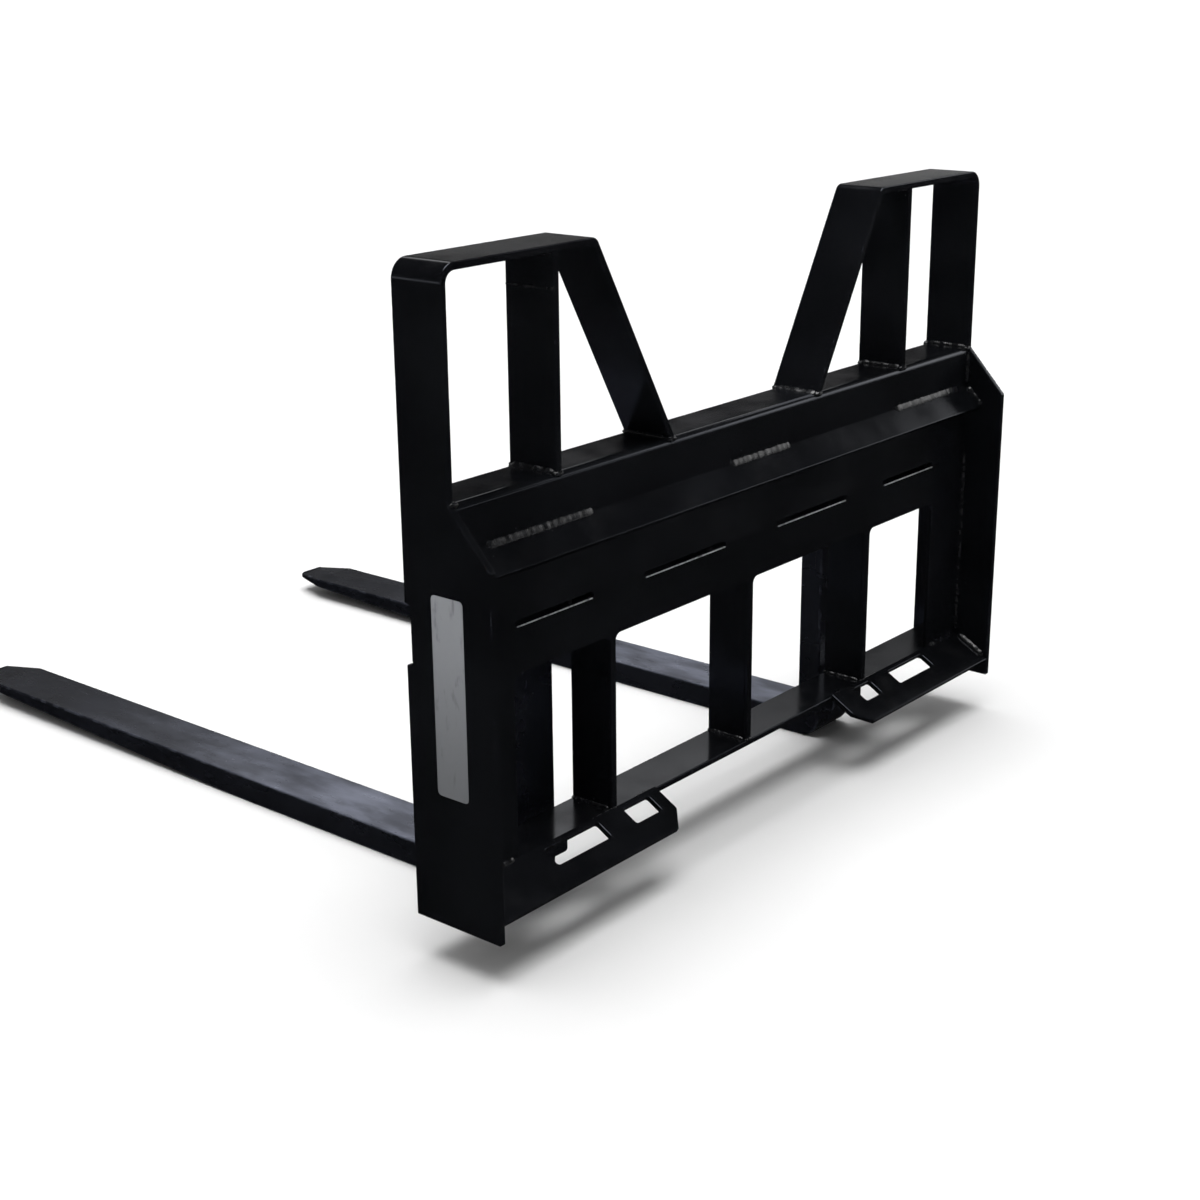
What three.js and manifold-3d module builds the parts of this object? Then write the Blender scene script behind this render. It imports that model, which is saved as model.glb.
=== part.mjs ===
// Pallet fork attachment for a skid-steer quick coupler.
// Millimetres. +Z is up, +Y points from the machine towards the fork tips, X runs along the frame.
// The frame is first laid out from three reference planes: X = 0 midway between the side plates,
// Y = 0 at the rear edges of the side plates and Z = 0 at their lower ends. The whole assembly is
// then moved so that the origin is at the bottom centre of its bounding box.
import * as THREE from 'three';
import { mergeVertices } from 'three/addons/utils/BufferGeometryUtils.js';
import Module from 'manifold-3d';

const wasm = await Module();
wasm.setup();

// ---- Clearances ----
const WELD_GAP = 0.3; // between two pieces that a weld joins
const SLIDE_GAP = 0.6; // between a fork and the bars that it slides on

// ---- Overall sizes ----
const FRAME_WIDTH = 1180; // over the outer faces of the side plates
const FRAME_DEPTH = 138; // rear edge to front edge of a side plate
const TUBE_TOP = 531; // top of the top tube above the lower ends of the side plates
const GUARD_TOP = 802; // top of the guards above the same level
const FORK_LENGTH = 1219; // from the rear face of the shank to the tip

// ---- Stock sizes ----
const SIDE_PLATE = 9.5; // thickness of the side plates
const BAR = 9.5; // thickness of the bent and flat bars
const FACE_PLATE = 6.4; // thickness of the rear face plate
const TUBE = 76; // side of the square top tube
const TUBE_WALL = 6.4;
const TUBE_RADIUS = 9; // outer corner radius of the tube

// ---- Side plates ----
const CHAMFER_DROP = 67; // height of the cut at the upper rear corner
const NOTCH_RADIUS = 7;

// ---- Rear face plate ----
const FACE_SETBACK = 2; // rear surface of the face plate behind the rear face of the tube
const WINDOW_DROP = 26; // top of the windows below the fork rail
const WINDOW_RADIUS = 10;
const END_STRIP = 93; // width of the strips beside the side plates
const BEND_RISE = 37.5; // bend line above the lower edge of the fork rail
const BEND_LEAN = 8; // degrees that the upper part leans forward
const SLIT_HEIGHT = 8; // slits on the bend line
const SLIT_END_RADIUS = 3.9;
const OUTER_SLIT = [105, 252]; // its ends from the outer face of the nearer side plate
const INNER_SLIT = [59, 238]; // its ends from the middle of the frame

// ---- Coupler lip ----
const LIP_THICKNESS = 10;
const LIP_WIDTH = 41; // along its 45 degree slope
const LIP_RISE = 16.3; // its upper surface meets the tube this far above the tube's underside

// ---- Uprights and bottom rail ----
const UPRIGHT = 10; // thickness of an upright
const UPRIGHT_PITCH = 301;
const UPRIGHT_CLEARANCE = 8; // between an upright and the fork hooks that pass above it
const WEB_SETBACK = 10; // front edges of the uprights and bottom rail behind the side plates' edges
const RAIL_PLATE = 8.5; // thickness of the bottom rail
const RAIL_PLATE_TOP = 59;

// ---- Bars that carry the forks ----
const FORK_RAIL_HEIGHT = 76;
const LOWER_BAR_BOTTOM = 8;
const LOWER_BAR_HEIGHT = 38;
const NOTCH_PITCH = 50; // spacing of the locking notches in the fork rail
const NOTCH_COUNT = 10; // notches in each half of the fork rail
const NOTCH_FLOOR_GAP = 3; // below the pin when it is down in a notch

// ---- Latch brackets ----
const BRACKET_PLATE = 8;
const BRACKET_SLOPE = 30; // degrees below horizontal, falling towards the machine
const BRACKET_TOP_Z = 62; // where its upper surface meets the face of the frame
const BRACKET_END = 375; // inner end, from the outer face of the side plate
const BRACKET_CORNER = 27; // corner cut at the inner end
const BRACKET_HOLE_RADIUS = 4;
const BRACKET_HOLE_TOP = 7.5; // from the upper edge to the holes, along the slope
const BRACKET_HOLE_WIDTH = 27; // along the slope
// Ends of the long and the short hole, from the outer face of the nearer side plate.
const BRACKET_HOLES = {
  left: [[142, 246], [298, 351]],
  right: [[128, 228], [281, 324]],
};

// ---- Guards above the tube ----
const GUARD_OUTER_RADIUS = 24;
const GUARD_INNER_RADIUS = 14; // outside radius of the bend above the slanting leg
const GUARD_LEAN = 29.5; // degrees between the slanting leg and the vertical
// Outer length of the level top and place of the post, from the outer face of the side plate.
const GUARDS = {
  left: { top: 266, post: 187.5 },
  right: { top: 281, post: 198 },
};

// ---- Forks ----
const FORK_WIDTH = 90;
const FORK_THICKNESS = 38;
const BLADE_DROP = 57; // underside of the blades below the side plates
const HEEL_RADIUS = 33;
const INNER_HEEL_RADIUS = 19;
const TAPER_START = 565; // from the rear face of the shank to the start of the underside taper
const TIP_THICKNESS = 9;
const TIP_WIDTH = 52;
const TIP_TAPER = 66; // length of the narrowed tip
const TIP_DROP = 5; // fall of the upper surface over the tip
const TIP_RADIUS = 8; // corners of the tip seen from above
const SHANK_RADIUS = 6; // upper front corner of the shank
// Parking place and smallest place of each fork along X, at the middle of its width.
const FORKS = {
  left: { x: -374, first: -524 },
  right: { x: 343, first: 43 },
};

// ---- Fork hooks and latch ----
const HOOK_WIDTH = 80;
const HOOK_WALL = 15; // thickness of the hook's lip behind the bar
const UPPER_HOOK_HEIGHT = 25; // above the rail
const UPPER_HOOK_REACH = 22; // down behind the rail
const LOWER_HOOK_HEIGHT = 14; // below the lower bar
const LOWER_HOOK_REACH = 16; // up behind the lower bar
const HOOK_RADIUS = 8; // outer corner of a hook
const EDGE_RADIUS = 3; // forged edges of the forks and hooks
const PIN = 10; // diameter of the latch pin
const PIN_WALL = 2; // steel left between the pin hole and the shank
const PIN_CLEARANCE = 0.5; // all round the pin in its hole
const PIN_NOTCH_CLEARANCE = 1.5; // on each side of the pin in a notch
const PIN_LIFT = 11; // travel of the pin; it is modelled at the top of it
const PIN_RAISED_GAP = 2; // raised pin above the rail
const COLLAR_FLANGE = 5; // collar beyond the pin, all round
const COLLAR_HEIGHT = 3;
const HANDLE_CLEARANCE = 7.8; // raised handle below the tube
const HANDLE_WIDTH = 24;
const HANDLE_THICKNESS = 5;
const HANDLE_OVERHANG = 14; // past the front of the shank
const HANDLE_EYE = 13; // diameter of the eye in the handle's free end
const PIN_CHAMFER = 1.5;

// ---- Roundness and finishes ----
const ARC_STEPS = 8; // segments in a rounded corner
const ROUND_STEPS = 24; // segments around the pins and collars
const FRAME_STEEL = { color: 0x0b0c0e, roughness: 0.34, metalness: 0.1 };
const FORK_STEEL = { color: 0x23262b, roughness: 0.5, metalness: 0.3 };
const BRIGHT_STEEL = { color: 0x9a9ea3, roughness: 0.3, metalness: 0.9 };

// ---- Derived sizes ----
const rad = THREE.MathUtils.degToRad;
const OUTER_X = FRAME_WIDTH / 2;
const INNER_X = OUTER_X - SIDE_PLATE;
const CLEAR_X = INNER_X - WELD_GAP; // end of everything that is welded between the side plates
const TUBE_REAR = FRAME_DEPTH - TUBE;
const TUBE_BOTTOM = TUBE_TOP - TUBE;
const CHAMFER_FOOT = TUBE_TOP - CHAMFER_DROP;
const FACE_Y = TUBE_REAR - FACE_SETBACK;
const LIP_TOP_Z = TUBE_BOTTOM + LIP_RISE;
const WEB_FRONT = FRAME_DEPTH - WEB_SETBACK;
const BAR_REAR = WEB_FRONT + WELD_GAP; // rear face of the two bars that carry the forks
// From the raised handle, just under the tube, down to the rail.
const HANDLE_BOTTOM = TUBE_BOTTOM - HANDLE_CLEARANCE - HANDLE_THICKNESS;
const UPPER_HOOK_TOP = HANDLE_BOTTOM - COLLAR_HEIGHT - PIN_LIFT - 2 * WELD_GAP;
const FORK_RAIL_TOP = UPPER_HOOK_TOP - UPPER_HOOK_HEIGHT - SLIDE_GAP;
const FORK_RAIL_BOTTOM = FORK_RAIL_TOP - FORK_RAIL_HEIGHT;
const UPPER_LIP_FOOT = FORK_RAIL_TOP - UPPER_HOOK_REACH;
const UPRIGHT_TOP = UPPER_LIP_FOOT - UPRIGHT_CLEARANCE;
const BEND_Z = FORK_RAIL_BOTTOM + BEND_RISE;
const WINDOW_TOP = FORK_RAIL_BOTTOM - WINDOW_DROP;
const NOTCH_DEPTH = PIN_LIFT - PIN_RAISED_GAP + NOTCH_FLOOR_GAP;
const COLLAR = PIN + 2 * COLLAR_FLANGE;
const SHANK_TOP = UPPER_HOOK_TOP; // so that the lowered collar clears the shank
const SHANK_REAR = FRAME_DEPTH + SLIDE_GAP;
const BLADE_TOP = FORK_THICKNESS - BLADE_DROP;
const FORK_TIP = SHANK_REAR + FORK_LENGTH;
const HOOK_INNER = BAR_REAR - SLIDE_GAP; // front face of a hook's lip
const HOOK_REAR = HOOK_INNER - HOOK_WALL;
const HOOK_FRONT = SHANK_REAR - WELD_GAP;
const PIN_Y = HOOK_FRONT - PIN_WALL - PIN_CLEARANCE - PIN / 2;

// ---- Helpers: outlines, extrusions and booleans ----

// Closed outline through corners [u, v, radius]; a corner without a radius is sharp.
function outline(corners) {
  const shape = new THREE.Shape();
  const count = corners.length;
  corners.forEach(([u, v, radius = 0], i) => {
    const here = new THREE.Vector2(u, v);
    if (radius === 0) {
      if (i === 0) shape.moveTo(u, v);
      else shape.lineTo(u, v);
      return;
    }
    const before = corners[(i + count - 1) % count];
    const after = corners[(i + 1) % count];
    const toBefore = new THREE.Vector2(before[0] - u, before[1] - v).normalize();
    const toAfter = new THREE.Vector2(after[0] - u, after[1] - v).normalize();
    const half = Math.acos(toBefore.dot(toAfter)) / 2;
    const reach = radius / Math.tan(half);
    const start = here.clone().addScaledVector(toBefore, reach);
    const end = here.clone().addScaledVector(toAfter, reach);
    const middle = toBefore.clone().add(toAfter).normalize();
    const centre = here.clone().addScaledVector(middle, radius / Math.sin(half));
    const from = Math.atan2(start.y - centre.y, start.x - centre.x);
    const to = Math.atan2(end.y - centre.y, end.x - centre.x);
    const clockwise = toBefore.cross(toAfter) > 0;
    if (i === 0) shape.moveTo(start.x, start.y);
    else shape.lineTo(start.x, start.y);
    shape.absarc(centre.x, centre.y, radius, from, to, clockwise);
  });
  shape.closePath();
  return shape;
}

function box2(u0, v0, u1, v1, radius = 0) {
  return outline([[u0, v0, radius], [u1, v0, radius], [u1, v1, radius], [u0, v1, radius]]);
}

const ALONG_X = new THREE.Matrix4().makeBasis(
  new THREE.Vector3(0, 1, 0), new THREE.Vector3(0, 0, 1), new THREE.Vector3(1, 0, 0));
const ALONG_Y = new THREE.Matrix4().makeBasis(
  new THREE.Vector3(1, 0, 0), new THREE.Vector3(0, 0, 1), new THREE.Vector3(0, -1, 0));

const extrude = (shape, depth) =>
  new THREE.ExtrudeGeometry(shape, { depth, bevelEnabled: false, curveSegments: ARC_STEPS });

// Outline in (Y, Z) swept from x0 to x1.
const sweepX = (shape, x0, x1) => extrude(shape, x1 - x0).applyMatrix4(ALONG_X).translate(x0, 0, 0);
// Outline in (X, Z) swept from y0 to y1.
const sweepY = (shape, y0, y1) => extrude(shape, y1 - y0).applyMatrix4(ALONG_Y).translate(0, y1, 0);
// Outline in (X, Y) swept from z0 to z1.
const sweepZ = (shape, z0, z1) => extrude(shape, z1 - z0).translate(0, 0, z0);

function toSolid(geometry) {
  const bare = geometry.clone();
  bare.deleteAttribute('normal');
  bare.deleteAttribute('uv');
  const merged = mergeVertices(bare, 1e-4);
  return new wasm.Manifold(new wasm.Mesh({
    numProp: 3,
    vertProperties: new Float32Array(merged.attributes.position.array),
    triVerts: new Uint32Array(merged.index.array),
  }));
}

function toGeometry(solid) {
  const mesh = solid.getMesh();
  const geometry = new THREE.BufferGeometry();
  geometry.setAttribute('position', new THREE.BufferAttribute(mesh.vertProperties, 3));
  geometry.setIndex(new THREE.BufferAttribute(mesh.triVerts, 1));
  geometry.computeVertexNormals();
  return geometry;
}

function cut(geometry, tools) {
  return toGeometry(tools.reduce((solid, tool) => solid.subtract(toSolid(tool)), toSolid(geometry)));
}

const common = (a, b) => toGeometry(toSolid(a).intersect(toSolid(b)));

const attachment = new THREE.Group();
function addPart(name, geometry, finish, parent) {
  const mesh = new THREE.Mesh(geometry, new THREE.MeshStandardMaterial(finish));
  mesh.name = name;
  parent.add(mesh);
  return mesh;
}

// The left side has sign -1 and the right side +1; distances from a side plate's outer face
// become X positions on that side.
const SIDES = { left: -1, right: 1 };
const inboard = (sign, distance) => sign * (OUTER_X - distance);
const span = (sign, a, b) => [inboard(sign, a), inboard(sign, b)].sort((p, q) => p - q);

// ---- Frame ----
const frame = new THREE.Group();

function sidePlate(sign) {
  const profile = outline([
    [0, 0],
    [FRAME_DEPTH, 0],
    [FRAME_DEPTH, FORK_RAIL_BOTTOM],
    [WEB_FRONT, FORK_RAIL_BOTTOM, NOTCH_RADIUS],
    [WEB_FRONT, FORK_RAIL_TOP, NOTCH_RADIUS],
    [FRAME_DEPTH, FORK_RAIL_TOP],
    [FRAME_DEPTH, TUBE_TOP],
    [TUBE_REAR, TUBE_TOP],
    [0, CHAMFER_FOOT],
  ]);
  return sweepX(profile, ...span(sign, 0, SIDE_PLATE));
}

function topTube() {
  const profile = box2(TUBE_REAR, TUBE_BOTTOM, FRAME_DEPTH, TUBE_TOP, TUBE_RADIUS);
  const bore = box2(TUBE_REAR + TUBE_WALL, TUBE_BOTTOM + TUBE_WALL,
    FRAME_DEPTH - TUBE_WALL, TUBE_TOP - TUBE_WALL, TUBE_RADIUS - TUBE_WALL);
  profile.holes.push(bore);
  return sweepX(profile, -CLEAR_X, CLEAR_X);
}

// A bar falling towards the machine at 45 degrees, its upper end cut to the face of the tube.
function couplerLip() {
  const tip = LIP_WIDTH * Math.SQRT1_2;
  const step = LIP_THICKNESS * Math.SQRT1_2;
  const root = TUBE_REAR - WELD_GAP;
  const top = LIP_TOP_Z - WELD_GAP;
  return sweepX(outline([
    [root, top],
    [root - tip, top - tip],
    [root - tip + step, top - tip - step],
    [root, top - 2 * step],
  ]), -CLEAR_X, CLEAR_X);
}

function facePlate() {
  const lean = Math.tan(rad(BEND_LEAN));
  const topZ = TUBE_BOTTOM - WELD_GAP;
  const topY = FACE_Y + (topZ - BEND_Z) * lean;
  const acrossLean = FACE_PLATE / Math.cos(rad(BEND_LEAN));
  const bendInside = BEND_Z + FACE_PLATE * Math.tan(rad(BEND_LEAN / 2));
  const footZ = RAIL_PLATE_TOP + WELD_GAP;
  const plate = sweepX(outline([
    [FACE_Y, footZ],
    [FACE_Y + FACE_PLATE, footZ],
    [FACE_Y + FACE_PLATE, bendInside],
    [topY + acrossLean, topZ],
    [topY, topZ],
    [FACE_Y, BEND_Z],
  ]), -CLEAR_X, CLEAR_X);
  const through = [FACE_Y - 1, FACE_Y + 2 * FACE_PLATE];
  const half = UPRIGHT / 2;
  const tools = [];
  const edge = INNER_X - END_STRIP;
  const edges = [-edge, -UPRIGHT_PITCH - half, -UPRIGHT_PITCH + half, -half,
    half, UPRIGHT_PITCH - half, UPRIGHT_PITCH + half, edge];
  for (let i = 0; i < edges.length; i += 2) {
    tools.push(sweepY(outline([
      [edges[i], footZ - 1],
      [edges[i + 1], footZ - 1],
      [edges[i + 1], WINDOW_TOP, WINDOW_RADIUS],
      [edges[i], WINDOW_TOP, WINDOW_RADIUS],
    ]), ...through));
  }
  const halfSlit = SLIT_HEIGHT / 2;
  for (const sign of Object.values(SIDES)) {
    for (const [a, b] of [OUTER_SLIT, INNER_SLIT.map((x) => OUTER_X - x)]) {
      const [x0, x1] = span(sign, a, b);
      const slit = box2(x0, BEND_Z - halfSlit, x1, BEND_Z + halfSlit, SLIT_END_RADIUS);
      tools.push(sweepY(slit, ...through));
    }
  }
  return cut(plate, tools);
}

// A flat bar standing on the bottom rail behind the face plate, cut away above for the fork hooks.
function upright(x) {
  const rear = FACE_Y + FACE_PLATE + WELD_GAP;
  return sweepX(outline([
    [rear, RAIL_PLATE_TOP + WELD_GAP],
    [WEB_FRONT, RAIL_PLATE_TOP + WELD_GAP],
    [WEB_FRONT, UPRIGHT_TOP],
    [rear + FACE_PLATE / 2, UPRIGHT_TOP], // clear of the leaning part of the face plate
    [rear, BEND_Z - SLIT_HEIGHT],
  ]), x - UPRIGHT / 2, x + UPRIGHT / 2);
}

const bottomRail = () =>
  sweepX(box2(FACE_Y, RAIL_PLATE_TOP - RAIL_PLATE, WEB_FRONT, RAIL_PLATE_TOP), -CLEAR_X, CLEAR_X);

function forkRail() {
  const bar = sweepX(box2(BAR_REAR, FORK_RAIL_BOTTOM, FRAME_DEPTH, FORK_RAIL_TOP), -CLEAR_X, CLEAR_X);
  const half = PIN / 2 + PIN_NOTCH_CLEARANCE;
  const notches = [];
  for (const { first } of Object.values(FORKS)) {
    for (let i = 0; i < NOTCH_COUNT; i += 1) {
      const x = first + i * NOTCH_PITCH;
      const notch = box2(x - half, FORK_RAIL_TOP - NOTCH_DEPTH, x + half, FORK_RAIL_TOP + 1);
      notches.push(sweepY(notch, BAR_REAR - 1, FRAME_DEPTH + 1));
    }
  }
  return cut(bar, notches);
}

const lowerForkBar = () => sweepX(
  box2(BAR_REAR, LOWER_BAR_BOTTOM, FRAME_DEPTH, LOWER_BAR_BOTTOM + LOWER_BAR_HEIGHT), -CLEAR_X, CLEAR_X);

// A sloping plate with a long and a short hole for the wedge pins of the machine.
function latchBracket(side) {
  const sign = SIDES[side];
  const slope = rad(BRACKET_SLOPE);
  const root = FACE_Y - WELD_GAP;
  const drop = BRACKET_PLATE / Math.cos(slope);
  const lean = BRACKET_PLATE * Math.sin(slope);
  const topZ = BRACKET_TOP_Z - WELD_GAP * Math.tan(slope);
  const toeZ = topZ - root * Math.tan(slope);
  const plate = sweepX(outline([
    [root, topZ],
    [0, toeZ],
    [lean, toeZ - BRACKET_PLATE * Math.cos(slope)],
    [root, topZ - drop],
  ]), ...span(sign, SIDE_PLATE + WELD_GAP, BRACKET_END));
  // The cutters are laid out flat with Y measured down the slope, then turned onto it.
  const onSlope = (shape) => sweepZ(shape, -2 * BRACKET_PLATE, BRACKET_PLATE)
    .rotateX(slope).translate(0, root, topZ);
  const holes = BRACKET_HOLES[side].map(([a, b]) => {
    const [x0, x1] = span(sign, a, b);
    const top = -BRACKET_HOLE_TOP;
    return onSlope(box2(x0, top - BRACKET_HOLE_WIDTH, x1, top, BRACKET_HOLE_RADIUS));
  });
  const end = inboard(sign, BRACKET_END);
  const toe = -root / Math.cos(slope);
  const corner = onSlope(outline([
    [end + sign * BRACKET_CORNER, toe - 1],
    [end, toe + BRACKET_CORNER],
    [end - sign * BRACKET_CORNER, toe + BRACKET_CORNER],
    [end - sign * BRACKET_CORNER, toe - 1],
  ]));
  return cut(plate, [...holes, corner]);
}

// A flat bar bent into a leg on the side plate, a level top and a slanting leg on the tube.
function guardHoop(side) {
  const sign = SIDES[side];
  const { top } = GUARDS[side];
  const lean = rad(GUARD_LEAN);
  const footZ = TUBE_TOP + WELD_GAP;
  const run = (z) => (GUARD_TOP - z) * Math.tan(lean);
  const across = BAR / Math.cos(lean);
  const underTop = GUARD_TOP - BAR;
  const at = (distance, z, radius) => [inboard(sign, distance), z, radius];
  return sweepY(outline([
    at(0, footZ),
    at(0, GUARD_TOP, GUARD_OUTER_RADIUS),
    at(top, GUARD_TOP, GUARD_INNER_RADIUS),
    at(top + run(footZ), footZ),
    at(top + run(footZ) - across, footZ),
    at(top + run(underTop) - across, underTop, GUARD_INNER_RADIUS - BAR),
    at(BAR, underTop, GUARD_OUTER_RADIUS - BAR),
    at(BAR, footZ),
  ]), TUBE_REAR, FRAME_DEPTH);
}

function guardPost(side) {
  const { post } = GUARDS[side];
  const [x0, x1] = span(SIDES[side], post, post + BAR);
  return sweepY(box2(x0, TUBE_TOP + WELD_GAP, x1, GUARD_TOP - BAR - WELD_GAP), TUBE_REAR, FRAME_DEPTH);
}

for (const [side, sign] of Object.entries(SIDES)) {
  addPart(`side_plate_${side}`, sidePlate(sign), FRAME_STEEL, frame);
  addPart(`latch_bracket_${side}`, latchBracket(side), FRAME_STEEL, frame);
  addPart(`guard_hoop_${side}`, guardHoop(side), FRAME_STEEL, frame);
  addPart(`guard_post_${side}`, guardPost(side), FRAME_STEEL, frame);
}
addPart('top_tube', topTube(), FRAME_STEEL, frame);
addPart('coupler_lip', couplerLip(), FRAME_STEEL, frame);
addPart('face_plate', facePlate(), FRAME_STEEL, frame);
addPart('upright_left', upright(-UPRIGHT_PITCH), FRAME_STEEL, frame);
addPart('upright_centre', upright(0), FRAME_STEEL, frame);
addPart('upright_right', upright(UPRIGHT_PITCH), FRAME_STEEL, frame);
addPart('bottom_rail', bottomRail(), FRAME_STEEL, frame);
addPart('fork_rail', forkRail(), FRAME_STEEL, frame);
addPart('lower_fork_bar', lowerForkBar(), FRAME_STEEL, frame);
attachment.add(frame);

// ---- Forks, laid out about the middle of their width ----

// The side view of the L, cut to the plan view of the narrowed tip.
function forkBlade() {
  const half = FORK_WIDTH / 2;
  const tipBottom = BLADE_TOP - TIP_DROP - TIP_THICKNESS;
  const side = sweepX(outline([
    [SHANK_REAR, SHANK_TOP, EDGE_RADIUS],
    [SHANK_REAR, -BLADE_DROP, HEEL_RADIUS],
    [SHANK_REAR + TAPER_START, -BLADE_DROP],
    [FORK_TIP, tipBottom, EDGE_RADIUS],
    [FORK_TIP, BLADE_TOP - TIP_DROP, EDGE_RADIUS],
    [FORK_TIP - TIP_TAPER, BLADE_TOP],
    [SHANK_REAR + FORK_THICKNESS, BLADE_TOP, INNER_HEEL_RADIUS],
    [SHANK_REAR + FORK_THICKNESS, SHANK_TOP, SHANK_RADIUS],
  ]), -half, half);
  const plan = sweepZ(outline([
    [-half, SHANK_REAR - 1],
    [half, SHANK_REAR - 1],
    [half, FORK_TIP - TIP_TAPER, half],
    [TIP_WIDTH / 2, FORK_TIP, TIP_RADIUS],
    [-TIP_WIDTH / 2, FORK_TIP, TIP_RADIUS],
    [-half, FORK_TIP - TIP_TAPER, half],
  ]), -BLADE_DROP - 1, SHANK_TOP + 1);
  return common(side, plan);
}

function pinHole(z0, z1) {
  const hole = new THREE.Shape().absarc(0, PIN_Y, PIN / 2 + PIN_CLEARANCE, 0, 2 * Math.PI, false);
  return sweepZ(hole, z0, z1);
}

// The pin's hole runs on down the inside of the hook's lip as a groove.
function topHook() {
  const half = HOOK_WIDTH / 2;
  const seat = FORK_RAIL_TOP + SLIDE_GAP;
  const hook = sweepX(outline([
    [HOOK_FRONT, seat],
    [HOOK_FRONT, UPPER_HOOK_TOP],
    [HOOK_REAR, UPPER_HOOK_TOP, HOOK_RADIUS],
    [HOOK_REAR, UPPER_LIP_FOOT, EDGE_RADIUS],
    [HOOK_INNER, UPPER_LIP_FOOT, EDGE_RADIUS],
    [HOOK_INNER, seat],
  ]), -half, half);
  return cut(hook, [pinHole(UPPER_LIP_FOOT - 1, UPPER_HOOK_TOP + 1)]);
}

function bottomHook() {
  const half = HOOK_WIDTH / 2;
  const seat = LOWER_BAR_BOTTOM - SLIDE_GAP;
  const foot = seat - LOWER_HOOK_HEIGHT;
  return sweepX(outline([
    [HOOK_FRONT, seat],
    [HOOK_INNER, seat],
    [HOOK_INNER, LOWER_BAR_BOTTOM + LOWER_HOOK_REACH, EDGE_RADIUS],
    [HOOK_REAR, LOWER_BAR_BOTTOM + LOWER_HOOK_REACH, EDGE_RADIUS],
    [HOOK_REAR, foot, HOOK_RADIUS],
    [HOOK_FRONT, foot],
  ]), -half, half);
}

const turned = (profile) =>
  new THREE.LatheGeometry(profile.map(([r, z]) => new THREE.Vector2(r, z)), ROUND_STEPS)
    .rotateX(Math.PI / 2).translate(0, PIN_Y, 0);

// The pin stands raised, clear of the rail, with its lower end chamfered.
function latchPin() {
  const foot = FORK_RAIL_TOP + PIN_RAISED_GAP;
  const r = PIN / 2;
  const head = HANDLE_BOTTOM + HANDLE_THICKNESS;
  return turned([[0, foot], [r - PIN_CHAMFER, foot], [r, foot + PIN_CHAMFER], [r, head], [0, head]]);
}

function latchCollar() {
  const z1 = HANDLE_BOTTOM - WELD_GAP;
  const z0 = z1 - COLLAR_HEIGHT;
  const bore = PIN / 2 + WELD_GAP;
  const r = COLLAR / 2;
  return turned([[bore, z0], [r, z0], [r, z1], [bore, z1], [bore, z0]]);
}

// A flat lever on top of the pin that reaches over the shank and ends in an eye.
function latchHandle() {
  const rear = PIN_Y - HANDLE_WIDTH / 2;
  const front = SHANK_REAR + FORK_THICKNESS + HANDLE_OVERHANG;
  const half = HANDLE_WIDTH / 2;
  const plan = box2(-half, rear, half, front, half - 2);
  const circle = (y, r) => new THREE.Path().absarc(0, y, r, 0, 2 * Math.PI, true);
  plan.holes.push(circle(PIN_Y, PIN / 2 + WELD_GAP), circle(front - HANDLE_EYE, HANDLE_EYE / 2));
  return sweepZ(plan, HANDLE_BOTTOM, HANDLE_BOTTOM + HANDLE_THICKNESS);
}

for (const [side, { x }] of Object.entries(FORKS)) {
  const fork = new THREE.Group();
  fork.position.x = x;
  addPart(`fork_${side}`, forkBlade(), FORK_STEEL, fork);
  addPart(`top_hook_${side}`, topHook(), FORK_STEEL, fork);
  addPart(`bottom_hook_${side}`, bottomHook(), FORK_STEEL, fork);
  addPart(`latch_pin_${side}`, latchPin(), BRIGHT_STEEL, fork);
  addPart(`latch_collar_${side}`, latchCollar(), BRIGHT_STEEL, fork);
  addPart(`latch_handle_${side}`, latchHandle(), BRIGHT_STEEL, fork);
  attachment.add(fork);
}

// The bounding box runs from the side plates' rear edges to the fork tips and stands on the blades.
attachment.position.set(0, -FORK_TIP / 2, BLADE_DROP);

export default attachment;
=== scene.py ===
"""Looks of a skid-steer pallet fork attachment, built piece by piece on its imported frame."""

import math
import random

import bmesh
import bpy
from bpy.props import FloatProperty, FloatVectorProperty, IntProperty, PointerProperty
from mathutils import Matrix, Vector, noise


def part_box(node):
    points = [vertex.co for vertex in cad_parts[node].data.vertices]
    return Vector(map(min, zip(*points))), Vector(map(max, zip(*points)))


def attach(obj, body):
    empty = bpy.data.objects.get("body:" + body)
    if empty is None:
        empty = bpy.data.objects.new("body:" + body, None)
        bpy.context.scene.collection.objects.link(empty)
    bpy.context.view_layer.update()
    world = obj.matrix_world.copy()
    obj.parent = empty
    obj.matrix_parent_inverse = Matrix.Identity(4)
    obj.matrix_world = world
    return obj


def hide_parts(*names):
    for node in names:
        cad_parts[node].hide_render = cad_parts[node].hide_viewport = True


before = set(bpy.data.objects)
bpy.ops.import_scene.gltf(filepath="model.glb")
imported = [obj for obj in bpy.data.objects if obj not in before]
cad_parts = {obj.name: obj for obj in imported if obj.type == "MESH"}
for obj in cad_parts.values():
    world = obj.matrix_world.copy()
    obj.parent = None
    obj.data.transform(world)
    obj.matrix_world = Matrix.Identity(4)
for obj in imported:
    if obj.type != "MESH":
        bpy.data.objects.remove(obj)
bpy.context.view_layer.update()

bl_info = {
    "name": "Pallet Fork Attachment",
    "version": (1, 0, 0),
    "blender": (4, 5, 0),
    "location": "3D View > Sidebar > Pallet Fork",
    "description": "Builds the painted steel, welds, forks and latches of a pallet fork attachment",
    "category": "Object",
}

MM = 0.001
WELD_GAP = 0.3 * MM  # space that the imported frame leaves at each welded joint
X, Y, Z = 0, 1, 2
SIDES = {"left": -1, "right": 1}


# ---- Places read from the frame ----

def low(node):
    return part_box(node)[0]


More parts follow.
